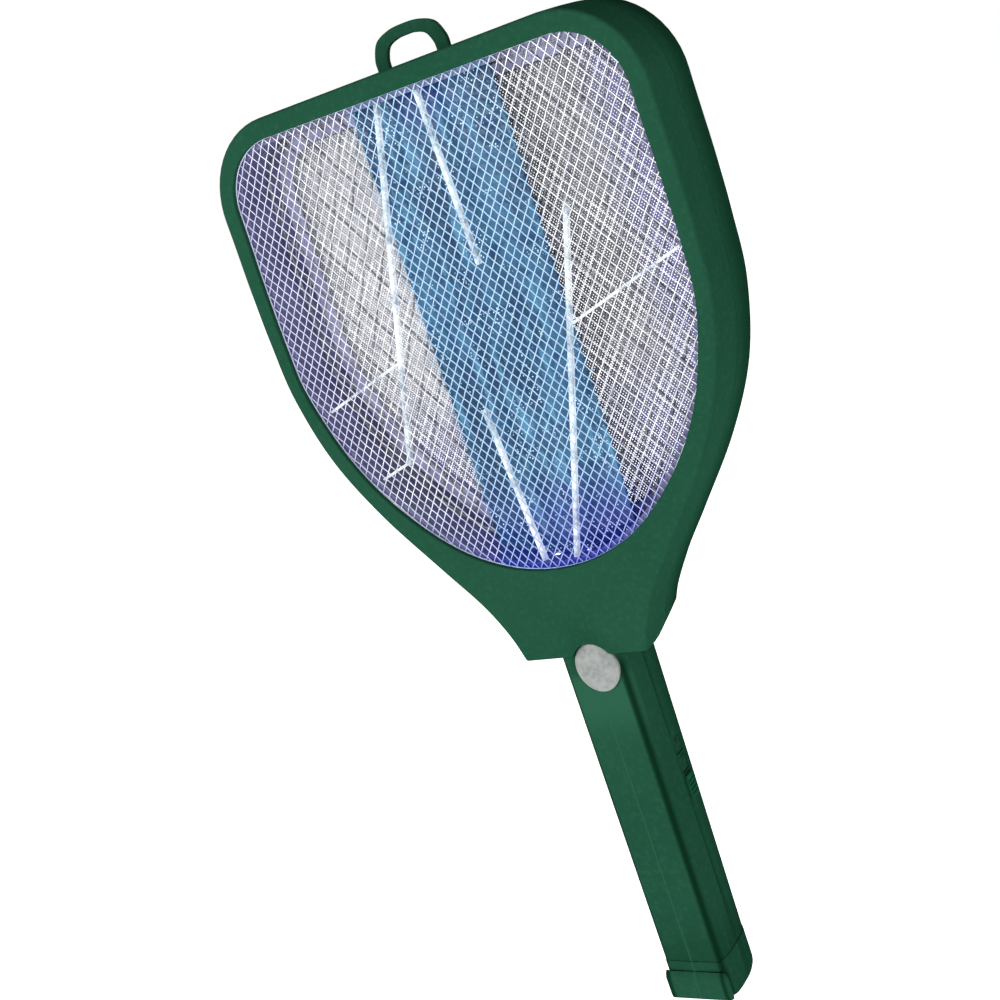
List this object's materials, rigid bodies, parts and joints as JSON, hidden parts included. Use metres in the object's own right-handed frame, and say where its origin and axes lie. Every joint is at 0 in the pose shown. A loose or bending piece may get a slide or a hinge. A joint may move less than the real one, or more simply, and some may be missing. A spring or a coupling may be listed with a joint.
{
  "type": "electric bug zapper",
  "caption": "Hand-held electric mosquito racket with a deep framed head, wire grids, a lit lure panel, a push button and a straight handle.",
  "frame": {"origin": "middle of the end cap's flat foot, at the bottom of the handle", "axes": "+Z along the handle towards the hanging loop, -Y out of the working face, +X to the right seen from the front"},
  "size_m": [0.2318, 0.042, 0.4903],
  "materials": {
    "green_plastic": "satin moulded",
    "grey_plastic": "satin moulded",
    "knob_plastic": "satin moulded",
    "grid_metal": "bright drawn wire",
    "violet_plastic": "translucent",
    "blue_acrylic": "translucent, edge lit",
    "clear_plastic": "clear",
    "led_violet": "clear lens, lit",
    "window_plastic": "smoked",
    "circuit_board": "solder mask",
    "black_plastic": "moulded",
    "capacitor_film": "dipped",
    "capacitor_sleeve": "shrink sleeve",
    "ferrite": "sintered",
    "steel": "zinc plated",
    "nickel": "nickel plated",
    "battery_wrap": "shrink sleeve",
    "red_lead": "insulated",
    "black_lead": "insulated"
  },
  "bodies": {
    "body": {"front_head_frame": "green_plastic", "rear_head_frame": "green_plastic", "hanging_loop": "green_plastic", "grid_carrier": "violet_plastic", "front_guard_grid": "grid_metal", "charge_grid": "grid_metal", "rear_guard_grid": "grid_metal", "lure_light_panel": "blue_acrylic", "left_spacer_rib": "clear_plastic", "right_spacer_rib": "clear_plastic", "upper_spacer_rib": "clear_plastic", "lower_spacer_rib": "clear_plastic", "led_board": "circuit_board", "uv_led_left": "led_violet", "uv_led_right": "led_violet", "head_screw_left": "steel", "head_screw_right": "steel", "handle_front_shell": "green_plastic", "handle_rear_shell": "green_plastic", "handle_screw_bottom": "steel", "handle_screw_lower": "steel", "handle_screw_upper": "steel", "prong_holder": "black_plastic", "charging_prong_left": "nickel", "charging_prong_right": "nickel", "tact_switch": "black_plastic", "mode_switch_body": "steel", "switch_board": "circuit_board", "power_indicator_window": "window_plastic", "charge_indicator_window": "window_plastic", "power_indicator_led": "clear_plastic", "charge_indicator_led": "clear_plastic", "main_circuit_board": "circuit_board", "step_up_transformer": "ferrite", "high_voltage_capacitor": "capacitor_film", "drive_transistor": "black_plastic", "storage_capacitor": "capacitor_sleeve", "battery_cell": "battery_wrap", "battery_contact_minus": "nickel", "battery_contact_plus": "nickel", "battery_lead": "black_lead", "led_lead": "black_lead", "charge_grid_lead": "red_lead", "guard_grid_lead": "black_lead"},
    "button": {"power_button": "grey_plastic", "switch_plunger": "black_plastic"},
    "mode_knob": {"mode_switch_knob": "knob_plastic"},
    "end_cap": {"end_cap": "green_plastic"}
  },
  "joints": [
    {"name": "button_press", "type": "slide", "parent": "body", "child": "button", "axis": [0, 1, 0], "range_m": [0, 0.0015], "stiffness_N_per_m": 1600},
    {"name": "mode_switch_slide", "type": "slide", "parent": "body", "child": "mode_knob", "axis": [0, 0, 1], "range_m": [0, 0.003]},
    {"name": "end_cap_pull", "type": "slide", "parent": "body", "child": "end_cap", "axis": [0, 0, -1], "range_m": [0, 0.03]}
  ]
}
